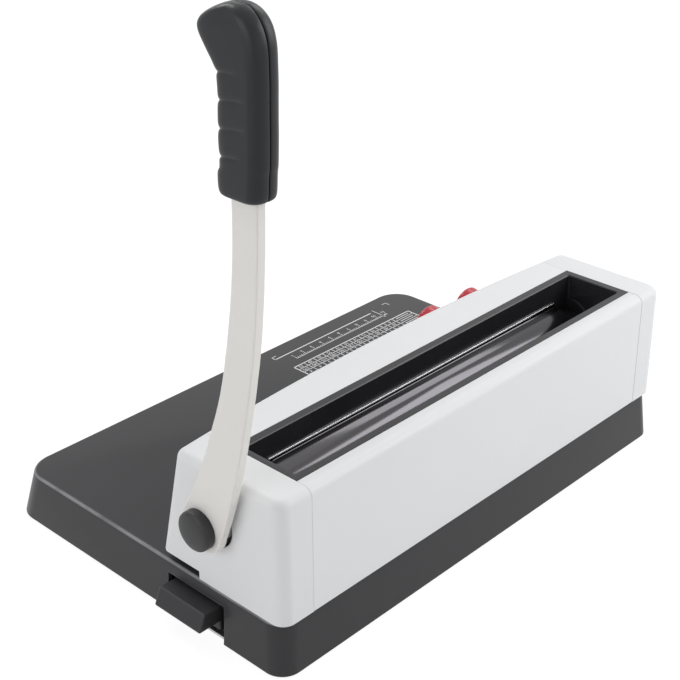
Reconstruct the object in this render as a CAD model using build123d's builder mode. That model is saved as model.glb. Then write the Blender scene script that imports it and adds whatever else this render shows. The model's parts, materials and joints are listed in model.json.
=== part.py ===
from build123d import *
from math import atan, cos, degrees, radians, sin, sqrt
import os

# A spiral binding machine with its lever up. +X is the operator's right hand end, where the
# lever is, -Y is the operator's side with the paper table, and +Z is up. While it is drawn,
# x = 0 is the middle of the housing, y = 0 the rear edge of the trough rim, and z = 0 the
# surface that the feet stand on.

# Base
base_margin = 3.0
base_depth = 256.8
base_height = 34.4
base_rear = 12.8
base_draft = 3.0
base_front_draft = 11.0
base_wall = 2.5
base_front_corner = 20.0
base_rear_corner = 13.0
base_edge_round = 2.5
foot_height = 2.0
foot_radius = 9.0
foot_side_inset = 40.0
foot_end_inset = 32.0
plate_thickness = 1.5
plate_recess = 0.4
screw_side_inset = 16.0
screw_end_inset = 20.0
screw_boss_radius = 5.0
screw_boss_depth = 12.0
screw_radius = 1.9
base_screw_reach = 10.0
base_screw_head = 0.6
screw_head_radius = 3.8
screw_head_height = 2.4

# Housing
housing_height = 82.0
housing_rear = 11.5
cover_length = 320.0
cap_length = 24.0
front_at_top = -82.4
front_bow = 9.4
front_lean = 0.24
housing_wall = 2.0
housing_rear_corner = 9.0
housing_front_corner = 6.5
housing_top_round = 6.0
seam = 0.15
tongue_length = 4.0
tongue_thickness = 1.5
tongue_fit = 0.1
slot_cut_behind = 2.5

# Trough on top, open over the polished drum that the lever turns
rim_depth = 51.5
rim_thickness = 3.0
rim_width = 5.5
rim_end_width = 5.0
rim_fit = 0.1
rim_chamfer = 0.7
liner_wall = 1.5
trough_depth = 26.4
trough_corner = 1.5
trough_boss_thickness = 1.5
lip_reach = 3.5
lip_thickness = 2.0
lip_wall = 2.2
drum_radius = 17.5
drum_short = 22.0
drum_end_round = 2.5
drum_gap = 0.5
strip_width = 1.0
strip_height = 1.1
strip_rise = 0.25

# Main shaft, lever and the drives on the shaft
pivot_y = -43.4
pivot_below_top = 34.6
shaft_radius = 5.0
lever_swing = 75.0
cam_radius = 11.0
cam_throw = 7.0
cam_hub_radius = 7.0
cam_thickness = 6.0
cam_gap = 0.56
cam_side_gap = 1.5
arm_thickness = 6.0
arm_gap = 3.0
arm_hub_radius = 16.0
pivot_cap_radius = 12.4
pivot_cap_thickness = 7.4
pivot_cap_round = 1.8
pivot_cap_wall = 2.0
pivot_cap_room = 2.4
collar_radius = 12.5
collar_gap = 1.5
collar_chamfer = 0.6
cap_hole_radius = 16.2
grip_thickness = 17.6
grip_edge_chamfer = 3.0
lever_screw_radius = 2.5
lever_screw_depth = 11.0
lever_screw_head_radius = 4.5
lever_screw_head_height = 1.2
washer_radius = 9.0
washer_thickness = 1.0
ring_groove_radius = 4.0
ring_radius = 7.5
ring_thickness = 1.0
ring_groove_gap = 2.3
shaft_beyond_ring = 1.2
shaft_chamfer = 0.8

# Punch
pin_count = 34
pin_pitch = 8.47
pin_radius = 2.0
pin_head_radius = 3.2
pin_head_height = 2.5
pin_fit = 0.1
punch_line = -64.5
slot_height = 5.5
paper_margin = 4.0
die_thickness = 6.0
guide_thickness = 6.0
plate_front = -76.0
plate_back = -46.0
rail_half_width = 5.2
rail_height = 11.0
keeper_thickness = 2.4
keeper_screw_inset = 22.0
keeper_screw_radius = 2.6
keeper_screw_height = 2.0
tab_rise = 3.5
tab_depth = 6.0
tab_back = -40.0
tab_width = 13.0
rail_inset = 1.0
rail_relief = 0.4
tip_shelter = 1.3
post_inset = 12.5
post_radius = 3.0
post_below_trough = 5.0
post_chamfer = 0.8
keeper_end_gap = 1.0
spring_wire = 1.1
spring_turns = 4
spring_gap = 0.5
spring_seat_gap = 0.2
plate_screw_line = -49.5

# Side frames
frame_beyond = 12.0
frame_thickness = 3.0
frame_foot = 12.0
frame_foot_thickness = 2.0
frame_front = -80.0
frame_back = 4.0
frame_below_top = 15.0
frame_nose = -64.0
frame_nose_rise = 22.0
frame_notch = -42.0
frame_notch_gap = 0.5
frame_corner = 8.0
frame_foot_lines = (-38.0, 2.0)
frame_screw_lines = (-32.0, -4.0)
bush_radius = 8.0
bush_flange = 10.0
bush_flange_thickness = 1.0
bush_fit = 0.05

# Release knobs
knob_stations = {"left": -97.0, "right": -57.0}
knob_below_top = 16.9
knob_radius = 11.5
knob_thickness = 6.5
knob_edge_round = 2.5
knob_neck_radius = 6.5
knob_neck = 2.0
knob_seat = 0.8
knob_seat_margin = 0.5
knob_clearance = 0.2
stem_radius = 2.5
stem_inside = 12.0

# Chip drawer
drawer_front = -84.0
drawer_back = -38.0
drawer_short = 44.0
drawer_top = 25.8
drawer_wall = 1.8
drawer_gap = 0.5
drawer_recess = 3.5
drawer_corner = 3.0
mouth_margin = 1.3
guide_height = 9.0
guide_sheet = 1.5
guide_flange = 8.0
guide_start_gap = 2.0
guide_end_gap = 7.0
pull_width = 40.0
pull_reach = 12.0
pull_off_middle = -2.0
pull_below_top = 1.8
pull_slope = 4.4
pull_face = 10.0
pull_lip = 1.5
pull_wall = 2.5
pull_edge_round = 1.2

# Places that follow from the sizes above
base_length = cover_length + 2 * (cap_length + base_margin)
base_top = foot_height + base_height
base_front = base_rear - base_depth
base_middle = (base_rear + base_front) / 2
plate_bottom = foot_height + plate_recess
plate_top = plate_bottom + plate_thickness
housing_top = base_top + housing_height
housing_half = cover_length / 2 + cap_length
cover_half = cover_length / 2 - seam
lip_top = housing_top - rim_thickness
lip_bottom = lip_top - lip_thickness
lean_angle = degrees(atan(front_lean))
bow_radius = (housing_half**2 + front_bow**2) / (2 * front_bow)
knob_height = housing_top - knob_below_top
trough_floor = housing_top - trough_depth
trough_front = -rim_depth + rim_width
trough_rear = -rim_width
trough_half = cover_length / 2 - rim_end_width
frame_inner = cover_length / 2 + frame_beyond
frame_outer = frame_inner + frame_thickness
pivot_height = housing_top - pivot_below_top
drum_length = cover_length - 2 * drum_short
arm_inner = housing_half + arm_gap
arm_outer = arm_inner + arm_thickness
arm_middle = (arm_inner + arm_outer) / 2
cam_angle = radians(90 + lever_swing / 2)
cam_y = pivot_y - cam_throw * sin(cam_angle)
cam_z = pivot_height - cam_throw * cos(cam_angle)
slot_top = base_top + slot_height
guide_top = slot_top + guide_thickness
die_bottom = base_top - die_thickness
plate_middle = (plate_front + plate_back) / 2
paper_stop = punch_line + paper_margin
carrier_top = cam_z - cam_radius - cam_gap
rail_top = carrier_top - tab_rise
rail_bottom = rail_top - rail_height
keeper_top = rail_top + keeper_thickness
spring_space = rail_bottom - guide_top
post_station = frame_inner - post_inset
screw_station = frame_inner - keeper_screw_inset
drawer_length = base_length - drawer_short
drawer_floor = plate_top + drawer_gap
far = 400.0


def front_face(x, z):
    """Where the housing's front surface stands at one place along it and one height."""
    bow = bow_radius - sqrt(bow_radius**2 - x**2)
    return front_at_top + bow - front_lean * (housing_top - z)


def along_x(start, stop, y, z, radius):
    """Round bar along X between two places."""
    bar = Cylinder(radius, stop - start, mode=Mode.PRIVATE)
    return Pos((start + stop) / 2, y, z) * Rot(0, 90, 0) * bar


def block(x_range, y_range, z_range):
    """Plain box between three pairs of places."""
    sizes = [stop - start for start, stop in (x_range, y_range, z_range)]
    middles = [(start + stop) / 2 for start, stop in (x_range, y_range, z_range)]
    return Pos(*middles) * Box(*sizes, mode=Mode.PRIVATE)


def base_form(inset, bottom, top):
    """Tapered outer shape of the base, drawn in all round, between two heights."""
    with BuildPart() as form:
        for height in (bottom, top):
            rise = (height - foot_height) / base_height
            side = base_length / 2 - inset - base_draft * rise
            front = base_front + inset + base_front_draft * rise
            rear = base_rear - inset - base_draft * rise
            with BuildSketch(Plane.XY.offset(height)):
                with Locations((0, (front + rear) / 2)):
                    Rectangle(2 * side, rear - front)
                fillet(vertices().group_by(Axis.Y)[0], base_front_corner - inset)
                fillet(vertices().group_by(Axis.Y)[-1], base_rear_corner - inset)
        loft(ruled=True)
    return form.part


def housing_form(inset, bottom):
    """Rounded outer shape of the whole housing, drawn in all round, from one height up."""
    half = housing_half - inset
    step = inset / cos(radians(lean_angle))
    rise = housing_top - inset - bottom
    middle = front_face(0, bottom) + step
    end = front_face(half, bottom) + step
    with BuildPart() as form:
        with BuildSketch(Plane.XY.offset(bottom)):
            with BuildLine():
                ThreePointArc((-half, end), (0, middle), (half, end))
                Polyline((half, end), (half, housing_rear), (-half, housing_rear), (-half, end))
            make_face()
        extrude(amount=rise / cos(radians(lean_angle)), dir=(0, front_lean, 1))
        split(bisect_by=Plane.XZ.offset(inset - housing_rear), keep=Keep.TOP)
        upright = edges().filter_by(lambda edge: abs(edge.tangent_at(0.5).Z) > 0.9)
        fillet(upright.group_by(Axis.Y)[-1], housing_rear_corner - inset)
        upright = edges().filter_by(lambda edge: abs(edge.tangent_at(0.5).Z) > 0.9)
        fillet(upright.group_by(Axis.Y)[0], housing_front_corner - inset)
        fillet(faces().sort_by(Axis.Z)[-1].edges(), housing_top_round - inset)
    return form.part


def knob_plane(station):
    """Plane on the front surface where a release knob sits, facing straight out of it."""
    return Plane(
        origin=(station, front_face(station, knob_height), knob_height),
        x_dir=(1, 0, 0),
        z_dir=(0, -cos(radians(lean_angle)), sin(radians(lean_angle))),
    )


def from_pivot(behind, above):
    """A place in the side view, given from the lever's pivot."""
    return (pivot_y + behind, pivot_height + above)


pieces = []


def finish(part, label):
    """Gives a finished piece its name and keeps it for writing."""
    part.label = label
    pieces.append(part)


# Base shell, open below, with the drawer's mouth in its right side and a ledge for the die plate
ledge = 3.0
ledge_depth = 1.9
die_fit = 0.2
plate_fit = 0.3
mouth_top = drawer_top + drawer_gap + mouth_margin
screw_reach_x = base_length / 2 - screw_side_inset
screw_reach_y = base_depth / 2 - screw_end_inset
base_screw_places = [
    (x * screw_reach_x, base_middle + y * screw_reach_y) for x in (-1, 0, 1) for y in (-1, 1)
]

base_outer = base_form(0, foot_height, base_top)
base_inner = base_form(base_wall, foot_height, base_top - base_wall)
plate_form = base_form(base_wall + plate_fit, plate_bottom, plate_top)

with BuildPart() as base_shell:
    add(base_outer)
    fillet(faces().sort_by(Axis.Z)[-1].edges(), base_edge_round)
    add(base_inner, mode=Mode.SUBTRACT)
    with BuildSketch(Plane.XY.offset(die_bottom - ledge_depth)):
        with Locations((0, plate_middle)):
            Rectangle(2 * (frame_inner + ledge), plate_back - plate_front + 2 * ledge)
    extrude(amount=die_thickness + ledge_depth - base_wall)
    with BuildSketch(Plane.XY.offset(die_bottom)):
        with Locations((0, plate_middle)):
            Rectangle(2 * (frame_inner + die_fit), plate_back - plate_front + 2 * die_fit)
    extrude(amount=die_thickness, mode=Mode.SUBTRACT)
    with BuildSketch(Plane.XY.offset(die_bottom - ledge_depth)):
        with Locations((0, plate_middle)):
            Rectangle(2 * (frame_inner - ledge), plate_back - plate_front - 2 * ledge)
    extrude(amount=ledge_depth, mode=Mode.SUBTRACT)
    with BuildSketch(Plane.XY.offset(plate_top)):
        with Locations(*base_screw_places):
            Circle(screw_boss_radius)
    extrude(amount=base_top - base_wall - plate_top)
    with BuildSketch(Plane.XY.offset(plate_top)):
        with Locations(*base_screw_places):
            Circle(screw_radius)
    extrude(amount=screw_boss_depth, mode=Mode.SUBTRACT)
    mouth = (drawer_front - drawer_wall, drawer_back + drawer_wall)
    add(block((frame_inner, base_length / 2 + 1), mouth, (0, mouth_top)), mode=Mode.SUBTRACT)
finish(base_shell.part, "base_shell")

with BuildPart() as bottom_plate:
    add(plate_form)
    with BuildSketch(Plane.XY.offset(plate_bottom)):
        with Locations(*base_screw_places):
            Circle(screw_radius)
    extrude(amount=plate_thickness, mode=Mode.SUBTRACT)
finish(bottom_plate.part, "bottom_plate")

foot_reach_x = base_length / 2 - foot_side_inset
foot_reach_y = base_depth / 2 - foot_end_inset
with BuildPart() as rubber_feet:
    with BuildSketch():
        for x in (-1, 1):
            for y in (-1, 1):
                with Locations((x * foot_reach_x, base_middle + y * foot_reach_y)):
                    Circle(foot_radius)
    extrude(amount=plate_bottom)
    chamfer(edges().group_by(Axis.Z)[0], 0.5)
finish(rubber_feet.part, "rubber_feet")

with BuildPart() as base_screws:
    with BuildSketch(Plane.XY.offset(plate_bottom)):
        with Locations(*base_screw_places):
            Circle(screw_radius)
    extrude(amount=base_screw_reach)
    with BuildSketch(Plane.XY.offset(plate_bottom - base_screw_head)):
        with Locations(*base_screw_places):
            Circle(screw_head_radius)
    extrude(amount=base_screw_head)
finish(base_screws.part, "base_screws")

guide_span = (guide_start_gap - frame_inner, frame_inner - guide_end_gap)
with BuildPart() as drawer_guides:
    for edge, side in ((drawer_front, -1), (drawer_back, 1)):
        near = edge + side * drawer_gap
        web = sorted((near, near + side * guide_sheet))
        flange = sorted((near, near + side * guide_flange))
        add(block(guide_span, web, (plate_top, plate_top + guide_height)))
        add(block(guide_span, flange, (plate_top, plate_top + guide_sheet)))
finish(drawer_guides.part, "drawer_guides")

# Chip drawer, a long tray that slides out to the right, and its moulded pull
tray_end = base_length / 2 - base_draft - drawer_recess
tray_start = tray_end - drawer_length
tray_inside = (drawer_front + drawer_wall, drawer_back - drawer_wall)
with BuildPart() as chip_drawer:
    add(block((tray_start, tray_end), (drawer_front, drawer_back), (drawer_floor, drawer_top)))
    fillet(edges().filter_by(Axis.Z).group_by(Axis.X)[0], drawer_corner)
    add(
        block(
            (tray_start + drawer_wall, tray_end - drawer_wall),
            tray_inside,
            (drawer_floor + drawer_wall, drawer_top),
        ),
        mode=Mode.SUBTRACT,
    )
finish(chip_drawer.part, "chip_drawer")

pull_middle = (drawer_front + drawer_back) / 2 + pull_off_middle
pull_top = drawer_top - pull_below_top
pull_outer = base_length / 2 + pull_reach
pull_bottom = pull_top - pull_face - pull_lip
with BuildPart() as drawer_pull:
    with BuildSketch(Plane.XZ.offset(-pull_middle)):
        with BuildLine():
            Polyline(
                (tray_end, pull_top),
                (pull_outer - pull_slope, pull_top),
                (pull_outer, pull_top - pull_face),
                (pull_outer, pull_bottom),
                (pull_outer - pull_wall, pull_bottom),
                (pull_outer - pull_slope - pull_wall, pull_top - pull_wall),
                (tray_end + pull_wall, pull_top - pull_wall),
                (tray_end + pull_wall, drawer_floor + 1),
                (tray_end, drawer_floor + 1),
                close=True,
            )
        make_face()
    extrude(amount=pull_width / 2, both=True)
    for end in (-1, 1):
        edge = pull_middle + end * pull_width / 2
        span = sorted((edge, edge - end * pull_wall))
        with BuildSketch(Plane.XZ.offset(-span[1])):
            with BuildLine():
                Polyline(
                    (tray_end, pull_top),
                    (pull_outer - pull_slope, pull_top),
                    (pull_outer, pull_top - pull_face),
                    (pull_outer, pull_bottom),
                    (tray_end, pull_bottom),
                    close=True,
                )
            make_face()
        extrude(amount=span[1] - span[0])
    outer_top = faces().sort_by(Axis.Z)[-1].edges().filter_by(Axis.Y).sort_by(Axis.X)[-1]
    fillet(outer_top, pull_edge_round)
finish(drawer_pull.part, "drawer_pull")

# Housing: two covers with the trough between them, and a cap at each end
outer_form = housing_form(0, base_top)
inner_form = housing_form(housing_wall, base_top - 1)
tongue_outer = housing_form(housing_wall + tongue_fit, base_top)
tongue_inner = housing_form(housing_wall + tongue_thickness, base_top - 1)
slot_cut = block(
    (-housing_half - 1, housing_half + 1),
    (front_face(0, base_top) - 5, paper_stop + slot_cut_behind),
    (base_top - 1, slot_top),
)
with BuildPart() as rear_cover:
    add(outer_form)
    add(inner_form, mode=Mode.SUBTRACT)
    add(block((-cover_half, cover_half), (0, far), (0, far)), mode=Mode.INTERSECT)
    add(block((-cover_half, cover_half), (0, lip_wall), (lip_bottom, housing_top - 1)))
    add(block((-cover_half, cover_half), (-lip_reach, lip_wall), (lip_bottom, lip_top)))
finish(rear_cover.part, "rear_cover")

with BuildPart() as front_cover:
    add(outer_form)
    add(inner_form, mode=Mode.SUBTRACT)
    add(block((-cover_half, cover_half), (-far, -rim_depth), (0, far)), mode=Mode.INTERSECT)
    add(slot_cut, mode=Mode.SUBTRACT)
    lip_from = -rim_depth - lip_wall
    add(block((-cover_half, cover_half), (lip_from, -rim_depth), (lip_bottom, housing_top - 1)))
    add(block((-cover_half, cover_half), (lip_from, lip_reach - rim_depth), (lip_bottom, lip_top)))
    for station in knob_stations.values():
        with BuildSketch(knob_plane(station).offset(knob_seat)):
            Circle(knob_radius + knob_seat_margin)
        extrude(amount=-knob_seat - housing_wall)
        with BuildSketch(knob_plane(station).offset(knob_seat)):
            Circle(stem_radius + pin_fit)
        extrude(amount=-knob_seat - 2 * housing_wall, mode=Mode.SUBTRACT)
finish(front_cover.part, "front_cover")

for label, side in (("end_cap_right", 1), ("end_cap_left", -1)):
    inner_side = sorted((side * cover_length / 2, side * far))
    tongue_side = sorted((side * (cover_length / 2 - tongue_length), side * (cover_length / 2 + 2)))
    with BuildPart() as tongue:
        add(tongue_outer)
        add(tongue_inner, mode=Mode.SUBTRACT)
        add(block(tongue_side, (-far, far), (0, far)), mode=Mode.INTERSECT)
        add(block((-far, far), (-rim_depth - 2.5, 2.5), (0, far)), mode=Mode.SUBTRACT)
    with BuildPart() as end_cap:
        add(outer_form)
        add(inner_form, mode=Mode.SUBTRACT)
        add(block(inner_side, (-far, far), (0, far)), mode=Mode.INTERSECT)
        add(tongue.part)
        add(slot_cut, mode=Mode.SUBTRACT)
        if side > 0:
            hole = along_x(housing_half - 5, housing_half + 1, pivot_y, pivot_height, cap_hole_radius)
            add(hole, mode=Mode.SUBTRACT)
    finish(end_cap.part, label)

# Trough liner with its flush rim and round end bosses. Its floor and front wall stop at the drum.
tub_middle = (trough_front + trough_rear) / 2
tub_depth = trough_rear - trough_front
tub_width = 2 * trough_half
drum_room_radius = drum_radius + drum_gap
drum_room_half = drum_length / 2 + 3 * drum_gap
with BuildPart() as trough_liner:
    rim_y = (-rim_depth + rim_fit, -rim_fit)
    add(block((-cover_half, cover_half), rim_y, (lip_top, housing_top)))
    with BuildSketch(Plane.XY.offset(trough_floor - liner_wall)):
        with Locations((0, tub_middle)):
            Rectangle(tub_width + 2 * liner_wall, tub_depth + 2 * liner_wall)
    extrude(amount=trough_depth)
    with BuildSketch(Plane.XY.offset(trough_floor)):
        with Locations((0, tub_middle)):
            Rectangle(tub_width, tub_depth)
        fillet(vertices(), trough_corner)
    extrude(amount=trough_depth, mode=Mode.SUBTRACT)
    chamfer(faces().sort_by(Axis.Z)[-1].inner_wires().edges(), rim_chamfer)
    for side in (-1, 1):
        with BuildSketch(Plane.YZ.offset(side * (trough_half + liner_wall / 2))):
            with Locations((pivot_y, pivot_height)):
                Circle(drum_radius)
            with Locations((tub_middle, trough_floor + trough_depth / 2)):
                Rectangle(tub_depth + 1, trough_depth + 1, mode=Mode.INTERSECT)
        extrude(amount=-side * (trough_boss_thickness + liner_wall / 2))
    drum_room = along_x(-drum_room_half, drum_room_half, pivot_y, pivot_height, drum_room_radius)
    add(drum_room, mode=Mode.SUBTRACT)
finish(trough_liner.part, "trough_liner")

# Bright strip along the foot of the trough's front wall, just above the drum
front_foot = pivot_height + sqrt(drum_room_radius**2 - (trough_front - pivot_y) ** 2)
with BuildPart() as edge_strip:
    add(
        block(
            (-drum_length / 2, drum_length / 2),
            (trough_front, trough_front + strip_width),
            (front_foot + strip_rise, front_foot + strip_rise + strip_height),
        )
    )
finish(edge_strip.part, "edge_strip")

# Main shaft and what turns on it
groove_start = -frame_outer - ring_groove_gap
shaft_start = groove_start - shaft_beyond_ring
with BuildPart() as main_shaft:
    add(along_x(shaft_start, arm_outer, pivot_y, pivot_height, shaft_radius))
    chamfer(edges().group_by(Axis.X)[0], shaft_chamfer)
    screw_hole_start = arm_outer - lever_screw_depth - 1
    screw_hole = along_x(screw_hole_start, arm_outer, pivot_y, pivot_height, lever_screw_radius)
    add(screw_hole, mode=Mode.SUBTRACT)
    groove = (groove_start, groove_start + ring_thickness)
    add(along_x(*groove, pivot_y, pivot_height, ring_radius), mode=Mode.SUBTRACT)
    add(along_x(*groove, pivot_y, pivot_height, ring_groove_radius))
finish(main_shaft.part, "main_shaft")

with BuildPart() as shaft_ring:
    add(along_x(*groove, pivot_y, pivot_height, ring_radius))
    add(along_x(*groove, pivot_y, pivot_height, ring_groove_radius), mode=Mode.SUBTRACT)
finish(shaft_ring.part, "shaft_ring")

with BuildPart() as shaft_drum:
    drum_span = (-drum_length / 2, drum_length / 2)
    add(along_x(*drum_span, pivot_y, pivot_height, drum_radius))
    fillet(edges().filter_by(GeomType.CIRCLE), drum_end_round)
    add(along_x(*drum_span, pivot_y, pivot_height, shaft_radius), mode=Mode.SUBTRACT)
finish(shaft_drum.part, "shaft_drum")

with BuildPart() as shaft_bushes:
    for side in (-1, 1):
        bush_start = frame_inner - bush_flange_thickness
        bush_end = frame_outer + bush_flange_thickness
        flange = sorted((side * bush_start, side * frame_inner))
        sleeve = sorted((side * frame_inner, side * bush_end))
        both_ends = sorted((side * bush_start, side * bush_end))
        add(along_x(*flange, pivot_y, pivot_height, bush_flange))
        add(along_x(*sleeve, pivot_y, pivot_height, bush_radius))
        add(along_x(*both_ends, pivot_y, pivot_height, shaft_radius + bush_fit), mode=Mode.SUBTRACT)
finish(shaft_bushes.part, "shaft_bushes")

cam_outer = frame_inner - cam_side_gap
for label, side in (("drive_cam_right", 1), ("drive_cam_left", -1)):
    span = sorted((side * (cam_outer - cam_thickness), side * cam_outer))
    with BuildPart() as drive_cam:
        add(along_x(*span, cam_y, cam_z, cam_radius))
        add(along_x(*span, pivot_y, pivot_height, cam_hub_radius))
        add(along_x(*span, pivot_y, pivot_height, shaft_radius), mode=Mode.SUBTRACT)
    finish(drive_cam.part, label)

collar_span = (frame_outer + collar_gap, arm_inner)
with BuildPart() as hub_collar:
    add(along_x(*collar_span, pivot_y, pivot_height, collar_radius))
    add(along_x(*collar_span, pivot_y, pivot_height, shaft_radius), mode=Mode.SUBTRACT)
    chamfer(edges().group_by(Axis.X)[-1].sort_by(SortBy.LENGTH)[-1], collar_chamfer)
finish(hub_collar.part, "hub_collar")

# Lever arm: a flat bar that leans back from its round hub and straightens towards the grip.
# Each place is given as its distance behind the pivot and its height above it.
arm_front = [
    (-14.0, 7.7),
    (7.0, 51.6),
    (13.3, 68.4),
    (22.1, 94.3),
    (27.4, 116.8),
    (33.6, 152.5),
    (37.6, 209.2),
]
arm_back = [
    (55.8, 209.2),
    (52.6, 156.0),
    (48.2, 121.2),
    (42.9, 93.2),
    (35.5, 60.0),
    (26.6, 27.7),
    (15.6, -3.0),
]
tang_top = 250.0
tang_inset = 3.0
tang_fit = 0.1

with BuildPart() as lever_arm:
    with BuildSketch(Plane.YZ.offset(arm_inner)):
        with BuildLine():
            front_edge = Spline(*[from_pivot(*place) for place in arm_front])
            Polyline(
                front_edge @ 1,
                from_pivot(arm_front[-1][0] + tang_inset, arm_front[-1][1]),
                from_pivot(arm_front[-1][0] + tang_inset, tang_top),
                from_pivot(arm_back[0][0] - tang_inset, tang_top),
                from_pivot(arm_back[0][0] - tang_inset, arm_back[0][1]),
                from_pivot(*arm_back[0]),
            )
            back_edge = Spline(*[from_pivot(*place) for place in arm_back])
            Line(back_edge @ 1, front_edge @ 0)
        make_face()
        with Locations((pivot_y, pivot_height)):
            Circle(arm_hub_radius)
    extrude(amount=arm_thickness)
    add(along_x(arm_inner, arm_outer, pivot_y, pivot_height, shaft_radius), mode=Mode.SUBTRACT)
finish(lever_arm.part, "lever_arm")

washer_end = arm_outer + washer_thickness
with BuildPart() as lever_washer:
    add(along_x(arm_outer, washer_end, pivot_y, pivot_height, washer_radius))
    add(along_x(arm_outer, washer_end, pivot_y, pivot_height, lever_screw_radius), mode=Mode.SUBTRACT)
finish(lever_washer.part, "lever_washer")

with BuildPart() as lever_screw:
    screw_end = washer_end + lever_screw_head_height
    screw_start = arm_outer - lever_screw_depth
    add(along_x(screw_start, washer_end, pivot_y, pivot_height, lever_screw_radius))
    add(along_x(washer_end, screw_end, pivot_y, pivot_height, lever_screw_head_radius))
finish(lever_screw.part, "lever_screw")

with BuildPart() as pivot_cap:
    cap_end = arm_outer + pivot_cap_thickness
    room_end = arm_outer + pivot_cap_room
    room_radius = pivot_cap_radius - pivot_cap_wall
    add(along_x(arm_outer, cap_end, pivot_y, pivot_height, pivot_cap_radius))
    fillet(edges().group_by(Axis.X)[-1], pivot_cap_round)
    add(along_x(arm_outer, room_end, pivot_y, pivot_height, room_radius), mode=Mode.SUBTRACT)
finish(pivot_cap.part, "pivot_cap")

# Grip in two halves, split down its middle plane, round the lever's tang
grip_points = [
    (32.0, 214.5),
    (33.8, 237.0),
    (34.9, 257.0),
    (34.0, 270.0),
    (28.8, 280.5),
    (24.3, 288.0),
    (27.4, 293.6),
    (35.5, 299.0),
    (45.0, 301.5),
    (55.6, 299.0),
    (62.2, 290.0),
    (64.3, 277.0),
    (63.6, 250.0),
    (61.0, 216.5),
]
grip_bottom = 209.4
grip_foot = (34.6, 57.6)
tang_front = pivot_y + arm_front[-1][0] + tang_inset - tang_fit
tang_back = pivot_y + arm_back[0][0] - tang_inset + tang_fit
for label, side in (("grip_outer_half", 1), ("grip_inner_half", -1)):
    with BuildPart() as grip:
        with BuildSketch(Plane.YZ.offset(arm_middle)):
            with BuildLine():
                outline = Spline(*[from_pivot(*place) for place in grip_points])
                Polyline(
                    outline @ 1,
                    from_pivot(grip_foot[1], grip_bottom),
                    from_pivot(grip_foot[0], grip_bottom),
                    outline @ 0,
                )
            make_face()
        extrude(amount=side * grip_thickness / 2)
        outer_face = faces().filter_by(Axis.X).sort_by(Axis.X)[-1 if side > 0 else 0]
        chamfer(outer_face.edges(), grip_edge_chamfer)
        tang_room = block(
            sorted((arm_middle, arm_middle + side * arm_thickness / 2)),
            (tang_front, tang_back),
            (pivot_height + grip_bottom - 5, pivot_height + tang_top + tang_fit),
        )
        add(tang_room, mode=Mode.SUBTRACT)
    finish(grip.part, label)

# Side frames: folded plates that stand on the base and carry the shaft
frame_screw_middle = frame_inner - frame_foot / 2
frame_screw_places = [
    (side * frame_screw_middle, y) for side in (-1, 1) for y in frame_screw_lines
]
for label, side in (("side_frame_right", 1), ("side_frame_left", -1)):
    start = frame_inner if side > 0 else -frame_outer
    foot_span = sorted((side * (frame_inner - frame_foot), side * frame_inner))
    foot_end = base_top + frame_foot_thickness
    with BuildPart() as side_frame:
        with BuildSketch(Plane.YZ.offset(start)):
            with BuildLine():
                Polyline(
                    (frame_notch, base_top),
                    (frame_back, base_top),
                    (frame_back, housing_top - frame_below_top),
                    (frame_nose, housing_top - frame_below_top),
                    (frame_front, slot_top + frame_nose_rise),
                    (frame_front, slot_top + frame_notch_gap),
                    (frame_notch, slot_top + frame_notch_gap),
                    close=True,
                )
            make_face()
            fillet(vertices().group_by(Axis.Y)[-1].sort_by(Axis.Z)[-1], frame_corner)
            with Locations((pivot_y, pivot_height)):
                Circle(bush_radius, mode=Mode.SUBTRACT)
        extrude(amount=frame_thickness)
        add(block(foot_span, frame_foot_lines, (base_top, foot_end)))
        with BuildSketch(Plane.XY.offset(base_top)):
            for y in frame_screw_lines:
                with Locations((side * frame_screw_middle, y)):
                    Circle(screw_radius)
        extrude(amount=frame_foot_thickness, mode=Mode.SUBTRACT)
    finish(side_frame.part, label)

with BuildPart() as frame_screws:
    with BuildSketch(Plane.XY.offset(base_top + frame_foot_thickness)):
        with Locations(*frame_screw_places):
            Circle(screw_head_radius)
    extrude(amount=screw_head_height)
    with BuildSketch(Plane.XY.offset(base_top)):
        with Locations(*frame_screw_places):
            Circle(screw_radius)
    extrude(amount=frame_foot_thickness)
finish(frame_screws.part, "frame_screws")

# Punch: die plate in the table, the paper slot above it, the guide plate and the pins
pin_origin = (0, punch_line)
plate_screw_places = [(screw_station * step / 2, plate_screw_line) for step in range(-2, 3)]
for label, bottom, thickness in (
    ("die_plate", die_bottom, die_thickness),
    ("guide_plate", slot_top, guide_thickness),
):
    with BuildPart() as plate:
        with BuildSketch(Plane.XY.offset(bottom)):
            with Locations((0, plate_middle)):
                Rectangle(2 * frame_inner, plate_back - plate_front)
            with Locations(pin_origin):
                with GridLocations(pin_pitch, 1, pin_count, 1):
                    Circle(pin_radius + pin_fit, mode=Mode.SUBTRACT)
            for side in (-1, 1):
                with Locations((side * post_station, punch_line)):
                    Circle(post_radius, mode=Mode.SUBTRACT)
            with Locations(*plate_screw_places):
                Circle(screw_radius, mode=Mode.SUBTRACT)
        extrude(amount=thickness)
    finish(plate.part, label)

with BuildPart() as slot_spacer:
    with BuildSketch(Plane.XY.offset(base_top)):
        with Locations((0, (paper_stop + plate_back) / 2)):
            Rectangle(2 * frame_inner, plate_back - paper_stop)
        with Locations(*plate_screw_places):
            Circle(screw_radius, mode=Mode.SUBTRACT)
    extrude(amount=slot_height)
finish(slot_spacer.part, "slot_spacer")

with BuildPart() as plate_screws:
    with BuildSketch(Plane.XY.offset(guide_top)):
        with Locations(*plate_screw_places):
            Circle(screw_head_radius)
    extrude(amount=screw_head_height)
    with BuildSketch(Plane.XY.offset(die_bottom)):
        with Locations(*plate_screw_places):
            Circle(screw_radius)
    extrude(amount=guide_top - die_bottom)
finish(plate_screws.part, "plate_screws")

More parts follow.
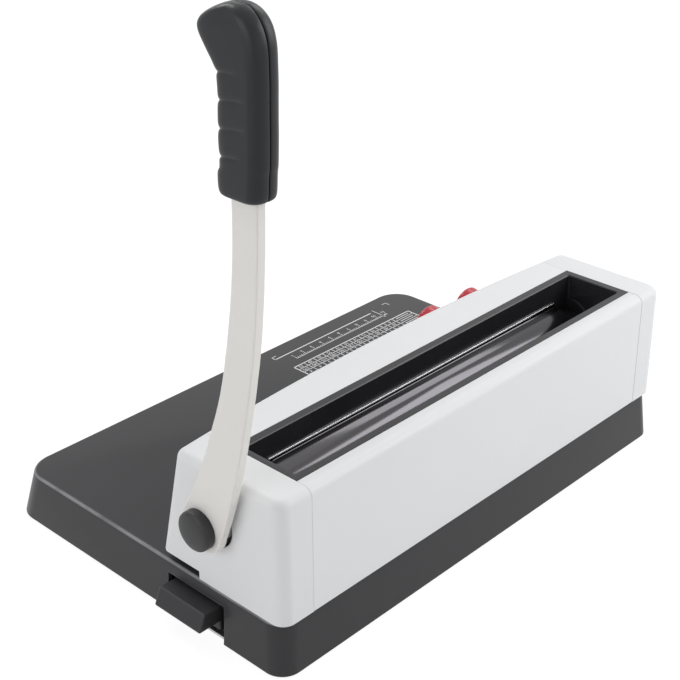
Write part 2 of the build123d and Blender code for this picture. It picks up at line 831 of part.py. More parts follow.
post_top = trough_floor - liner_wall - post_below_trough
with BuildPart() as guide_posts:
    with BuildSketch(Plane.XY.offset(die_bottom)):
        for side in (-1, 1):
            with Locations((side * post_station, punch_line)):
                Circle(post_radius)
    extrude(amount=post_top - die_bottom)
    chamfer(edges().group_by(Axis.Z)[-1], post_chamfer)
finish(guide_posts.part, "guide_posts")

spring_middle = post_radius + spring_gap + spring_wire / 2
spring_rise = spring_space - spring_wire - 2 * spring_seat_gap
spring_start = guide_top + spring_seat_gap + spring_wire / 2
with BuildPart() as return_springs:
    for side in (-1, 1):
        coil = Helix(
            pitch=spring_rise / spring_turns,
            height=spring_rise,
            radius=spring_middle,
            center=(side * post_station, punch_line, spring_start),
            mode=Mode.PRIVATE,
        )
        with BuildSketch(Plane(origin=coil @ 0, z_dir=coil % 0)):
            Circle(spring_wire / 2)
        sweep(path=coil)
finish(return_springs.part, "return_springs")

rail = (punch_line - rail_half_width, punch_line + rail_half_width)
rail_end = frame_inner - rail_inset
relief_radius = drum_radius + rail_relief
drum_relief = along_x(-drum_room_half, drum_room_half, pivot_y, pivot_height, relief_radius)
with BuildPart() as punch_carrier:
    add(block((-rail_end, rail_end), rail, (rail_bottom, rail_top)))
    for side in (-1, 1):
        tab = sorted((side * (rail_end - tab_width), side * rail_end))
        add(block(tab, rail, (rail_top, carrier_top)))
        add(block(tab, (rail[1], tab_back), (rail_top - tab_depth, carrier_top)))
    with BuildSketch(Plane.XY.offset(rail_bottom)):
        with Locations(pin_origin):
            with GridLocations(pin_pitch, 1, pin_count, 1):
                Circle(pin_radius)
    extrude(amount=rail_height, mode=Mode.SUBTRACT)
    with BuildSketch(Plane.XY.offset(rail_top - pin_head_height)):
        with Locations(pin_origin):
            with GridLocations(pin_pitch, 1, pin_count, 1):
                Circle(pin_head_radius)
    extrude(amount=pin_head_height, mode=Mode.SUBTRACT)
    with BuildSketch(Plane.XY.offset(rail_bottom)):
        for side in (-1, 1):
            with Locations((side * post_station, punch_line)):
                Circle(post_radius + pin_fit)
    extrude(amount=carrier_top - rail_bottom, mode=Mode.SUBTRACT)
    add(drum_relief, mode=Mode.SUBTRACT)
finish(punch_carrier.part, "punch_carrier")

keeper_end = post_station - post_radius - keeper_end_gap
with BuildPart() as pin_keeper:
    add(block((-keeper_end, keeper_end), rail, (rail_top, keeper_top)))
    add(drum_relief, mode=Mode.SUBTRACT)
finish(pin_keeper.part, "pin_keeper")

with BuildPart() as keeper_screws:
    with BuildSketch(Plane.XY.offset(keeper_top)):
        for side in (-1, 1):
            with Locations((side * screw_station, punch_line)):
                Circle(keeper_screw_radius)
    extrude(amount=keeper_screw_height)
finish(keeper_screws.part, "keeper_screws")

with BuildPart() as punch_pins:
    with BuildSketch(Plane.XY.offset(slot_top + tip_shelter)):
        with Locations(pin_origin):
            with GridLocations(pin_pitch, 1, pin_count, 1):
                Circle(pin_radius)
    extrude(amount=rail_top - slot_top - tip_shelter)
    with BuildSketch(Plane.XY.offset(rail_top - pin_head_height)):
        with Locations(pin_origin):
            with GridLocations(pin_pitch, 1, pin_count, 1):
                Circle(pin_head_radius)
    extrude(amount=pin_head_height)
finish(punch_pins.part, "punch_pins")

# Release knobs: red knobs on steel stems that pull out square to the front
for name, station in knob_stations.items():
    seat = knob_plane(station)
    neck_start = knob_seat + knob_clearance
    with BuildPart() as stem:
        with BuildSketch(seat.offset(-stem_inside)):
            Circle(stem_radius)
        extrude(amount=stem_inside + knob_seat + knob_neck)
    finish(stem.part, "release_stem_" + name)
    with BuildPart() as knob:
        with BuildSketch(seat.offset(neck_start)):
            Circle(knob_neck_radius)
        extrude(amount=knob_neck)
        with BuildSketch(seat.offset(neck_start + knob_neck)):
            Circle(knob_radius)
        extrude(amount=knob_thickness)
        rim_edges = edges().filter_by(GeomType.CIRCLE)
        rim_edges = rim_edges.filter_by(lambda edge: edge.radius == knob_radius)
        fillet(rim_edges.sort_by(Axis.Y)[0], knob_edge_round)
        with BuildSketch(seat):
            Circle(stem_radius)
        extrude(amount=knob_seat + knob_neck, mode=Mode.SUBTRACT)
    finish(knob.part, "release_knob_" + name)

# The finished frame has its origin in the middle of the foot print, on the ground
boxes = [piece.bounding_box() for piece in pieces]
left_most = min(box.min.X for box in boxes)
right_most = max(box.max.X for box in boxes)
front_most = min(box.min.Y for box in boxes)
rear_most = max(box.max.Y for box in boxes)
shift = Location((-(left_most + right_most) / 2, -(front_most + rear_most) / 2, 0))
os.makedirs("parts", exist_ok=True)
for piece in pieces:
    placed = piece.moved(shift)
    placed.label = piece.label
    export_step(placed, "parts/" + piece.label + ".step")
print("shift", shift.position)
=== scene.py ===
import json
import math

import bmesh
import bpy
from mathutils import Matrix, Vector

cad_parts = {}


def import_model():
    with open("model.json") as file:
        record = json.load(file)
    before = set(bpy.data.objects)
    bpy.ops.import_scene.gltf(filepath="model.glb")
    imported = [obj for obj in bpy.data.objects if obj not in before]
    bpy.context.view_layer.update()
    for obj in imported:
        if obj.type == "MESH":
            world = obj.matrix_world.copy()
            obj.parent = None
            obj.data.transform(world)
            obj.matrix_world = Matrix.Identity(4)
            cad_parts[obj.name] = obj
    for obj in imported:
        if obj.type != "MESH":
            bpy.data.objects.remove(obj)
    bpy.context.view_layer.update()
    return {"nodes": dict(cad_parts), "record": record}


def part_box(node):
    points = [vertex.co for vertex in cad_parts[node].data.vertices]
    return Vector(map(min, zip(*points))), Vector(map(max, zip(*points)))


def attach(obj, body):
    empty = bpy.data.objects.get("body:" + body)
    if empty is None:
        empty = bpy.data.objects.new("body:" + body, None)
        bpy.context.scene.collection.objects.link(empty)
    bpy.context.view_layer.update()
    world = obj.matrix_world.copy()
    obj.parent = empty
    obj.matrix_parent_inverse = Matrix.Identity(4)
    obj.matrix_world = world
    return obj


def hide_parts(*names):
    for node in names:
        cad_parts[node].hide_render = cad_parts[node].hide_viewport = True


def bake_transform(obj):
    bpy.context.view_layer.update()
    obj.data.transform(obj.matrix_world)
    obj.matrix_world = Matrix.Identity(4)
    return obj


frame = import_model()

# Places in this script are millimetres from the housing's middle, the rear edge of the
# trough rim and the ground, as a maker would measure them. This is where that point lies.
# The liner ends a little inside that edge.
LINER_GAP = 0.0001
rim_low, rim_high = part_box("trough_liner")
HOME = Vector(((rim_low.x + rim_high.x) / 2, rim_high.y + LINER_GAP, 0))
cap_low, cap_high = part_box("pivot_cap")
PIVOT = Vector((cap_low.x, (cap_low.y + cap_high.y) / 2, (cap_low.z + cap_high.z) / 2))
GRIP_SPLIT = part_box("grip_outer_half")[0].x

TABLE_LOW, TABLE_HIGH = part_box("base_shell")
TABLE_TOP = TABLE_HIGH.z
TABLE_ROUND = 0.002
# How far in from the base's box its top edge can lie, because the sides slope
OUTLINE_INSET = 0.016
# A vertex this near the top lies on it, and a side face is steep and has its middle lower
TOP_WITHIN = 0.0002
STEEP = 0.6
SIDE_DEPTH = 0.005


def at(x, y, z):
    """A place in the frame, in metres, from millimetres on the machine."""
    return HOME + Vector((x, y, z)) / 1000


def linked(name, data):
    """A new object that holds the data, in the scene."""
    made = bpy.data.objects.new(name, data)
    bpy.context.scene.collection.objects.link(made)
    return made


# Shader maths


# Sockets of the Mix node that carry colours, because its names repeat for other types
MIX_FIRST_COLOUR = 6
MIX_SECOND_COLOUR = 7
MIX_RESULT_COLOUR = 2


class Signal:
    """One value or colour travelling through a material, which Python operators can work on."""

    def __init__(self, sheet, socket):
        self.sheet = sheet
        self.socket = socket

    def maths(self, operation, other=None, first=None):
        values = [first if first is not None else self, other if first is None else self]
        kept = [value for value in values if value is not None]
        return self.sheet.node("ShaderNodeMath", {"operation": operation}, dict(enumerate(kept)))

    def __sub__(self, other):
        return self.maths("SUBTRACT", other)

    def __rsub__(self, other):
        return self.maths("SUBTRACT", first=other)

    def __mul__(self, other):
        return self.maths("MULTIPLY", other)

    def __rmul__(self, other):
        return self.maths("MULTIPLY", other)

    def __truediv__(self, other):
        return self.maths("DIVIDE", other)

    def most(self, other):
        return self.maths("MAXIMUM", other)


class Sheet:
    """The node tree of one material."""

    def __init__(self, name):
        self.material = bpy.data.materials.new(name)
        self.material.use_nodes = True
        self.tree = self.material.node_tree
        self.tree.nodes.clear()
        self.place = self.node("ShaderNodeTexCoord", out="Object")

    def node(self, kind, settings=None, inputs=None, out=0):
        """Adds one node with its settings and the values or links of its sockets."""
        made = self.tree.nodes.new(kind)
        for name, value in (settings or {}).items():
            if name == "stops":
                ramp = made.color_ramp.elements
                for index, (position, colour) in enumerate(value):
                    stop = ramp[index] if index < 2 else ramp.new(position)
                    stop.position = position
                    stop.color = colour
            else:
                setattr(made, name, value)
        for name, value in (inputs or {}).items():
            if isinstance(value, Signal):
                self.tree.links.new(value.socket, made.inputs[name])
            else:
                made.inputs[name].default_value = value
        return Signal(self, made.outputs[out])

    def noise(self, scale, detail=3.0, stretch=(1, 1, 1), roughness=0.5):
        """Smooth random values on the piece's own place, stretched along its axes."""
        placed = self.node("ShaderNodeMapping", inputs={"Vector": self.place, "Scale": stretch})
        settings = {"Vector": placed, "Scale": scale, "Detail": detail, "Roughness": roughness}
        return self.node("ShaderNodeTexNoise", inputs=settings)

    def ramp(self, value, *stops):
        """Maps a value onto grey levels, given as pairs of position and level."""
        colours = [(position, (level, level, level, 1)) for position, level in stops]
        return self.node("ShaderNodeValToRGB", {"stops": colours}, {"Fac": value})

    def blend(self, share, low, high):
        """Goes from one colour to another as the share rises."""
        inputs = {"Factor": share, MIX_FIRST_COLOUR: low, MIX_SECOND_COLOUR: high}
        return self.node("ShaderNodeMix", {"data_type": "RGBA"}, inputs, out=MIX_RESULT_COLOUR)

    def axes(self):
        """The three coordinates of the place on the piece."""
        split = self.node("ShaderNodeSeparateXYZ", inputs={"Vector": self.place})
        outputs = split.socket.node.outputs
        return [Signal(self, outputs[index]) for index in range(3)]

    def bump(self, height, strength, distance):
        """Turns a height into a surface relief."""
        inputs = {"Height": height, "Strength": strength, "Distance": distance}
        return self.node("ShaderNodeBump", inputs=inputs)

    def edges(self, radius):
        """Rises from 0 to 1 where the surface turns sharply within the radius."""
        rounded = self.node("ShaderNodeBevel", {"samples": 4}, {"Radius": radius})
        plain = self.node("ShaderNodeNewGeometry", out="Normal")
        match = self.node(
            "ShaderNodeVectorMath",
            {"operation": "DOT_PRODUCT"},
            {0: rounded, 1: plain},
            out="Value",
        )
        return (1 - match) * 4

    def surface(self, inputs):
        """Closes the tree with the surface shader and returns the material."""
        shader = self.node("ShaderNodeBsdfPrincipled", inputs=inputs)
        output = self.tree.nodes.new("ShaderNodeOutputMaterial")
        self.tree.links.new(shader.socket, output.inputs["Surface"])
        return self.material


def rgb(red, green, blue):
    """An opaque colour."""
    return (red, green, blue, 1.0)


# Finishes


def painted_steel():
    """Smooth white powder coat with a faint orange peel."""
    sheet = Sheet("white_paint")
    peel = sheet.noise(900, 2)
    cloud = sheet.noise(14, 3)
    colour = sheet.blend(cloud, rgb(0.735, 0.74, 0.75), rgb(0.775, 0.78, 0.79))
    return sheet.surface(
        {
            "Base Color": colour,
            "Roughness": sheet.ramp(cloud, (0.3, 0.42), (0.7, 0.52)),
            "Normal": sheet.bump(peel, 0.06, 0.0004),
        }
    )


def moulded_white():
    """White plastic of the end caps, with a fine grain and slightly rubbed edges."""
    sheet = Sheet("white_plastic")
    grain = sheet.noise(1500, 2)
    cloud = sheet.noise(18, 3)
    sharp_edges = sheet.edges(0.0008)
    colour = sheet.blend(cloud, rgb(0.725, 0.73, 0.74), rgb(0.765, 0.77, 0.78))
    edge_toned = sheet.blend(sharp_edges * 0.3, colour, rgb(0.62, 0.62, 0.62))
    return sheet.surface(
        {
            "Base Color": edge_toned,
            "Roughness": sheet.ramp(cloud, (0.3, 0.44), (0.7, 0.54)),
            "Normal": sheet.bump(grain, 0.08, 0.0003),
        }
    )


def table_plastic():
    """Black moulded plastic of the base, finely textured, lighter on its edges partly from rubbing
    and partly as painted highlight, with a painted highlight band along the table's top edge.
    """
    sheet = Sheet("base_plastic")
    grain = sheet.noise(1300, 3)
    cloud = sheet.noise(9, 4)
    sharp_edges = sheet.edges(0.0015)
    colour = sheet.blend(cloud, rgb(0.033, 0.033, 0.035), rgb(0.043, 0.043, 0.046))
    # Sharp edges lightened towards grey: partly rubbing, partly painted highlight.
    rubbed_and_highlit = sheet.blend(sharp_edges * 0.9, colour, rgb(0.12, 0.12, 0.125))
    # Painted highlight: a light grey band, broken into patches, just under the table's top along
    # its rounded top edge.
    height = (sheet.axes()[2] - (TABLE_TOP - TABLE_ROUND)) / TABLE_ROUND
    top_edge_highlight = sheet.ramp(height, (0.05, 0), (0.4, 1), (0.8, 1), (0.96, 0))
    highlight_patches = sheet.ramp(sheet.noise(45, 3), (0.25, 0.45), (0.6, 1))
    edge_toned = sheet.blend(top_edge_highlight * highlight_patches, rubbed_and_highlit, rgb(0.27, 0.27, 0.28))
    return sheet.surface(
        {
            "Base Color": edge_toned,
            "Roughness": sheet.ramp(cloud, (0.3, 0.30), (0.7, 0.38)),
            "Normal": sheet.bump(grain, 0.08, 0.0003),
            "Specular IOR Level": 0.2,
        }
    )


def liner_plastic():
    """Smoother black plastic of the trough liner."""
    sheet = Sheet("liner_plastic")
    grain = sheet.noise(1100, 2)
    cloud = sheet.noise(20, 3)
    colour = sheet.blend(cloud, rgb(0.014, 0.014, 0.016), rgb(0.022, 0.022, 0.025))
    return sheet.surface(
        {
            "Base Color": colour,
            "Roughness": sheet.ramp(cloud, (0.3, 0.22), (0.7, 0.32)),
            "Normal": sheet.bump(grain, 0.05, 0.0003),
            "Specular IOR Level": 0.35,
        }
    )


def bright_steel():
    """Polished steel with fine lines drawn along its length."""
    sheet = Sheet("bright_steel")
    lines = sheet.noise(60, 4, stretch=(1, 60, 60))
    smear = sheet.noise(12, 3)
    colour = sheet.blend(lines, rgb(0.56, 0.56, 0.57), rgb(0.70, 0.70, 0.71))
    return sheet.surface(
        {
            "Base Color": colour,
            "Metallic": 1.0,
            "Roughness": sheet.ramp(smear, (0.3, 0.16), (0.7, 0.26)),
            "Normal": sheet.bump(lines, 0.05, 0.0002),
        }
    )


def drum_steel():
    """Dark polished steel of the drum, with long faint draw marks and light smears."""
    sheet = Sheet("drum_steel")
    lines = sheet.noise(50, 4, stretch=(0.6, 40, 40))
    smear = sheet.noise(16, 4, stretch=(0.5, 1, 1))
    colour = sheet.blend(lines, rgb(0.072, 0.070, 0.075), rgb(0.098, 0.095, 0.102))
    return sheet.surface(
        {
            "Base Color": colour,
            "Metallic": 1.0,
            "Roughness": sheet.ramp(smear, (0.3, 0.09), (0.7, 0.15)),
            "Normal": sheet.bump(lines, 0.04, 0.0002),
        }
    )


def frame_steel():
    """Plain rolled steel of the plates and shaft."""
    sheet = Sheet("frame_steel")
    lines = sheet.noise(40, 5, stretch=(1, 24, 24))
    smear = sheet.noise(25, 4)
    colour = sheet.blend(lines, rgb(0.42, 0.42, 0.43), rgb(0.58, 0.58, 0.58))
    return sheet.surface(
        {
            "Base Color": colour,
            "Metallic": 1.0,
            "Roughness": sheet.ramp(smear, (0.3, 0.32), (0.7, 0.48)),
            "Normal": sheet.bump(lines, 0.08, 0.0002),
        }
    )


def zinc_plate():
    """Zinc plated fasteners."""
    sheet = Sheet("zinc_plate")
    mottle = sheet.noise(400, 3)
    colour = sheet.blend(mottle, rgb(0.50, 0.50, 0.47), rgb(0.66, 0.66, 0.63))
    return sheet.surface(
        {
            "Base Color": colour,
            "Metallic": 1.0,
            "Roughness": sheet.ramp(mottle, (0.3, 0.30), (0.7, 0.42)),
            "Normal": sheet.bump(mottle, 0.05, 0.0002),
        }
    )


def lever_paint():
    """Warm white paint of the lever arm, a little uneven, with painted shade darkening its edges.
    """
    sheet = Sheet("lever_paint")
    peel = sheet.noise(700, 2)
    cloud = sheet.noise(22, 4)
    sharp_edges = sheet.edges(0.0009)
    colour = sheet.blend(cloud, rgb(0.745, 0.732, 0.70), rgb(0.79, 0.778, 0.748))
    # Painted shade: the sharp edges are darkened towards grey.
    edge_toned = sheet.blend(sharp_edges * 0.45, colour, rgb(0.52, 0.51, 0.49))
    return sheet.surface(
        {
            "Base Color": edge_toned,
            "Roughness": sheet.ramp(cloud, (0.3, 0.38), (0.7, 0.50)),
            "Normal": sheet.bump(peel, 0.07, 0.0004),
        }
    )


def grip_plastic():
    """Dark grey moulded grip with a soft sheen and a fine leather-like grain."""
    sheet = Sheet("grip_plastic")
    grain = sheet.noise(1400, 4, roughness=0.6)
    cloud = sheet.noise(30, 3)
    sharp_edges = sheet.edges(0.001)
    colour = sheet.blend(cloud, rgb(0.014, 0.015, 0.017), rgb(0.022, 0.023, 0.026))
    edge_toned = sheet.blend(sharp_edges * 0.5, colour, rgb(0.05, 0.05, 0.055))
    return sheet.surface(
        {
            "Base Color": edge_toned,
            "Roughness": sheet.ramp(cloud, (0.3, 0.30), (0.7, 0.40)),
            "Normal": sheet.bump(grain, 0.10, 0.0003),
            "Specular IOR Level": 0.25,
        }
    )


def cap_plastic():
    """Black plastic of the pivot cap and the bushes."""
    sheet = Sheet("cap_plastic")
    grain = sheet.noise(1200, 2)
    cloud = sheet.noise(40, 3)
    colour = sheet.blend(cloud, rgb(0.022, 0.022, 0.024), rgb(0.034, 0.034, 0.036))
    return sheet.surface(
        {
            "Base Color": colour,
            "Roughness": sheet.ramp(cloud, (0.3, 0.36), (0.7, 0.46)),
            "Normal": sheet.bump(grain, 0.08, 0.0003),
            "Specular IOR Level": 0.3,
        }
    )


def red_plastic():
    """Glossy red plastic of the release knobs."""
    sheet = Sheet("red_plastic")
    cloud = sheet.noise(60, 3)
    colour = sheet.blend(cloud, rgb(0.42, 0.008, 0.022), rgb(0.52, 0.014, 0.034))
    return sheet.surface(
        {
            "Base Color": colour,
            "Roughness": sheet.ramp(cloud, (0.3, 0.22), (0.7, 0.32)),
            "Normal": sheet.bump(sheet.noise(900, 2), 0.03, 0.0002),
        }
    )


def foot_rubber():
    """Matt black rubber of the feet."""
    sheet = Sheet("foot_rubber")
    grain = sheet.noise(900, 4)
    colour = sheet.blend(grain, rgb(0.018, 0.018, 0.018), rgb(0.034, 0.034, 0.034))
    return sheet.surface(
        {
            "Base Color": colour,
            "Roughness": sheet.ramp(grain, (0.3, 0.72), (0.7, 0.86)),
            "Normal": sheet.bump(grain, 0.2, 0.0004),
        }
    )


def print_ink():
    """White ink of the chart printed on the table, thin in places."""
    sheet = Sheet("print_ink")
    grain = sheet.noise(1300, 3)
    colour = sheet.blend(grain, rgb(0.62, 0.62, 0.63), rgb(0.86, 0.86, 0.87))
    return sheet.surface(
        {
            "Base Color": colour,
            "Roughness": sheet.ramp(grain, (0.3, 0.45), (0.7, 0.6)),
            "Normal": sheet.bump(grain, 0.1, 0.0003),
        }
    )


FINISHES = {
    "base_black": table_plastic(),
    "steel": frame_steel(),
    "zinc": zinc_plate(),
    "rubber_black": foot_rubber(),
    "white_steel": painted_steel(),
    "white_plastic": moulded_white(),
    "liner_black": liner_plastic(),
    "polished_steel": bright_steel(),
    "dark_steel": drum_steel(),
    "lever_white": lever_paint(),
    "grip_black": grip_plastic(),
    "cap_black": cap_plastic(),
    "knob_red": red_plastic(),
}
SLOTS = {entry["node"]: entry["material_slot"] for entry in frame["record"]["subparts"]}


def paint(thing, finish):
    """Gives an object one finish all over."""
    thing.data.materials.clear()
    thing.data.materials.append(finish)


for name, node in frame["nodes"].items():
    paint(node, FINISHES[SLOTS[name]])


# Pieces


def keep_mesh(name, made, body, slot, finish=None):
    """Turns a bmesh into a named piece that wears a slot's finish and rides on a body, if given."""
    mesh = bpy.data.meshes.new(name)
    made.to_mesh(mesh)
    made.free()
    piece = linked(name, mesh)
    paint(piece, finish or FINISHES[slot])
    if body:
        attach(piece, body)
    return piece


SHARP_ANGLE = math.radians(32)
MERGE_WITHIN = 1e-6
FLAT_WITHIN = 0.02


def shade(piece):
    """Smooth shading that keeps edges sharper than the angle."""
    piece.data.shade_smooth()
    piece.data.set_sharp_from_angle(angle=SHARP_ANGLE)


def round_edges(piece, width, segments, chosen):
    """Rounds on the piece's sharp edges, or only on the edges that carry a weight."""
    bevel = piece.modifiers.new("rounded_edges", "BEVEL")
    bevel.width = width
    bevel.segments = segments
    bevel.limit_method = "WEIGHT" if chosen else "ANGLE"
    bevel.angle_limit = SHARP_ANGLE
    bevel.harden_normals = True
    bevel.use_clamp_overlap = not chosen


def eased(node_name, body, width=0.0, segments=0, chosen=None):
    """A copy of a node with its triangles merged into whole faces and its edges rounded."""
    made = bmesh.new()
    made.from_mesh(frame["nodes"][node_name].data)
    bmesh.ops.remove_doubles(made, verts=made.verts, dist=MERGE_WITHIN)
    bmesh.ops.dissolve_limit(
        made, angle_limit=FLAT_WITHIN, verts=made.verts, edges=made.edges, delimit={"NORMAL"}
    )
    if chosen:
        weight = made.edges.layers.float.new("bevel_weight_edge")
        for edge in made.edges:
            edge[weight] = 1.0 if chosen(edge) else 0.0
    piece = keep_mesh(node_name + "_eased", made, body, SLOTS[node_name])
    shade(piece)
    if width:
        round_edges(piece, width, segments, chosen is not None)
    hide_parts(node_name)
    return piece


def is_outer(edge):
    """True where an edge lies along the base's outline seen from above."""
    middle = (edge.verts[0].co + edge.verts[1].co) / 2
    inside_x = TABLE_LOW.x + OUTLINE_INSET < middle.x < TABLE_HIGH.x - OUTLINE_INSET
    inside_y = TABLE_LOW.y + OUTLINE_INSET < middle.y < TABLE_HIGH.y - OUTLINE_INSET
    return not (inside_x and inside_y)


def table_edge(edge):
    """True for the outer edge round the table's top."""
    if len(edge.link_faces) != 2 or any(vert.co.z < TABLE_TOP - TOP_WITHIN for vert in edge.verts):
        return False
    falls_away = any(
        face.normal.z < STEEP and face.calc_center_median().z < TABLE_TOP - SIDE_DEPTH
        for face in edge.link_faces
    )
    return falls_away and is_outer(edge)


EASED = (
    ("end_cap_right", "body", 0.0005, 2),
    ("end_cap_left", "body", 0.0005, 2),
    ("rear_cover", "body", 0.0004, 2),
    ("front_cover", "body", 0.0004, 2),
    ("trough_liner", "body", 0.00035, 2),
    ("edge_strip", "body", 0.0002, 2),
    ("lever_arm", "lever", 0.0028, 4),
    ("hub_collar", "lever", 0.0003, 2),
    ("drawer_pull", "drawer", 0.0022, 4),
    ("chip_drawer", "drawer", 0.0, 0),
    ("release_knob_left", "release_left", 0.0, 0),
    ("release_knob_right", "release_right", 0.0, 0),
)
for node_name, body, width, segments in EASED:
    eased(node_name, body, width, segments)
eased("base_shell", "body", TABLE_ROUND, 4, table_edge)

# Each return spring stands on the guide plate and gives way under the carrier. This smoothed copy
# of them stays fixed in place and rides on no body.
springs = eased("return_springs", None)
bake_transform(springs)


# Round pieces on the shaft


def turned(profile, steps, closed=False):
    """A round body spun about the shaft, from places along it and radii in millimetres."""
    made = bmesh.new()
    ring = [
        made.verts.new((PIVOT.x + along / 1000, PIVOT.y, PIVOT.z + radius / 1000))
        for along, radius in profile
    ]
    for first, second in zip(ring, ring[1:] + ring[:1] if closed else ring[1:]):
        made.edges.new((first, second))
    bmesh.ops.spin(
        made,
        geom=made.verts[:] + made.edges[:],
        cent=PIVOT,
        axis=(1, 0, 0),
        angle=math.tau,
        steps=steps,
        use_merge=True,
    )
    bmesh.ops.remove_doubles(made, verts=made.verts, dist=MERGE_WITHIN)
    bmesh.ops.recalc_face_normals(made, faces=made.faces)
    return made


DRUM_BORE = 5.02
DRUM_ROUND = ((0.0, 15.0), (0.33, 16.25), (1.25, 17.17), (2.5, 17.5))
CAP_STEPS = 72
DRUM_STEPS = 128
# The cap's outline and the round at each end of the drum, from places along the shaft and radii
PIVOT_CAP = (
    (2.4, 0.0),
    (2.4, 10.4),
    (0.05, 10.4),
    (0.05, 12.1),
    (0.4, 12.4),
    (4.4, 12.4),
    (5.5, 12.1),
    (6.2, 11.4),
    (6.6, 10.2),
    (7.0, 7.5),
    (7.25, 4.0),
    (7.35, 0.0),
)
pivot_cap = keep_mesh("pivot_cap_domed", turned(PIVOT_CAP, CAP_STEPS), "lever", "cap_black")
shade(pivot_cap)
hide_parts("pivot_cap")

drum_low, drum_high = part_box("shaft_drum")
drum_start = (drum_low.x - PIVOT.x) * 1000
drum_end = (drum_high.x - PIVOT.x) * 1000
drum_profile = [(drum_start + inward, radius) for inward, radius in DRUM_ROUND]
drum_profile += [(drum_end - inward, radius) for inward, radius in reversed(DRUM_ROUND)]
drum_profile += [(drum_end, DRUM_BORE), (drum_start, DRUM_BORE)]
drum_body = turned(drum_profile, DRUM_STEPS, True)
drum = keep_mesh("shaft_drum_polished", drum_body, "lever", "dark_steel")
shade(drum)
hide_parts("shaft_drum")


# Grip


# Front and back of each level of the grip, behind and above the pivot, its half thickness,
# and how deep and how far back the finger groove of that level goes, all in millimetres.
GRIP_LEVELS = (
    ((36.8, 209.3), (56.6, 209.3), 6.1, 0, 0),
    ((34.1, 209.5), (59.4, 209.6), 8.2, 0, 0),
    ((32.6, 210.7), (61.0, 211.0), 8.7, 0, 0),
    ((32.0, 213.6), (61.6, 214.6), 8.8, 0, 0),
    ((32.1, 219.6), (62.0, 222.0), 8.8, 0, 0),
    ((32.5, 221.4), (62.2, 224.4), 8.8, 0, 0),
    ((33.8, 222.6), (62.7, 226.2), 8.8, 0, 0),
    ((33.9, 225.2), (62.9, 229.2), 8.8, 0, 0),
    ((33.9, 227.5), (63.0, 232.0), 8.8, 0, 0),
    ((35.2, 228.4), (63.1, 232.9), 8.8, 0.9, 11.3),
    ((33.9, 229.4), (63.1, 233.9), 8.8, 0, 0),
    ((33.7, 235.2), (63.4, 239.8), 8.8, 0, 0),
    ((33.9, 241.1), (63.6, 245.7), 8.8, 0, 0),
    ((35.4, 242.0), (63.6, 246.6), 8.8, 0.9, 16.3),
    ((33.9, 243.0), (63.6, 247.6), 8.8, 0, 0),
    ((34.3, 249.0), (63.8, 253.4), 8.8, 0, 0),
    ((34.5, 254.9), (64.0, 259.2), 8.8, 0, 0),
    ((36.0, 255.8), (64.0, 260.1), 8.8, 0.9, 17.8),
    ((34.6, 256.8), (64.1, 261.1), 8.8, 0, 0),
    ((35.0, 262.4), (64.3, 266.4), 8.8, 0, 0),
    ((34.3, 268.0), (64.3, 271.8), 8.8, 0, 0),
    ((35.4, 268.9), (64.3, 272.7), 8.8, 0.9, 12.8),
    ((34.2, 269.9), (64.3, 273.7), 8.8, 0, 0),
    ((31.9, 273.9), (64.3, 277.4), 8.8, 0, 0),
    ((29.0, 277.6), (64.3, 280.6), 8.8, 0, 0),
    ((26.2, 281.6), (64.0, 284.0), 8.8, 0, 0),
    ((23.7, 285.2), (63.4, 287.0), 8.8, 0, 0),
    ((22.8, 288.2), (62.6, 289.8), 8.8, 0, 0),
    ((23.8, 291.4), (61.4, 292.4), 8.8, 0, 0),
    ((27.6, 294.8), (59.4, 295.4), 8.6, 0, 0),
    ((33.2, 298.0), (56.8, 298.0), 7.9, 0, 0),
    ((38.4, 300.2), (54.0, 300.0), 6.4, 0, 0),
    ((42.4, 301.3), (50.6, 301.2), 4.2, 0, 0),
)
FRONT_ROUND = 4.6
BACK_ROUND = 6.0
SEAM_BEVEL = 0.4
# The most that a round takes of a small level's depth and thickness
FRONT_SHARE = 0.28
BACK_SHARE = 0.4
THICKNESS_SHARE = 0.8
# How far the front's round is cut across its corner, and where the flat side has places
FRONT_CORNER = 0.3
FLAT_PLACES = (0.3, 0.6, 0.85)
SMOOTH_LEVELS = 2
BACK_CURVE = ((1.05, 0.0), (0.92, 0.03), (0.5, 0.15), (0.18, 0.42), (0.0, 0.88))


def grip_section(front, back, thickness, groove, reach):
    """Closed ring of one level: distances behind the front and out from the seam."""
    length = math.dist(front, back)
    front_round = min(FRONT_ROUND, FRONT_SHARE * length, THICKNESS_SHARE * thickness)
    back_round = min(BACK_ROUND, BACK_SHARE * length, THICKNESS_SHARE * thickness)
    flat = length - front_round - back_round
    ring = [(SEAM_BEVEL, 0.0), (0.0, SEAM_BEVEL), (0.0, thickness - front_round)]
    ring.append((FRONT_CORNER * front_round, thickness - FRONT_CORNER * front_round))
    ring.append((front_round, thickness))
    ring += [(front_round + flat * share, thickness) for share in FLAT_PLACES]
    for inward, drop in BACK_CURVE:
        ring.append((length - inward * back_round, thickness - drop * back_round))
    ring += [(length, SEAM_BEVEL), (length - SEAM_BEVEL, 0.0)]
    if groove:
        ring = [
            (behind, out - groove if out > thickness / 2 and behind <= reach else out)
            for behind, out in ring
        ]
    return ring


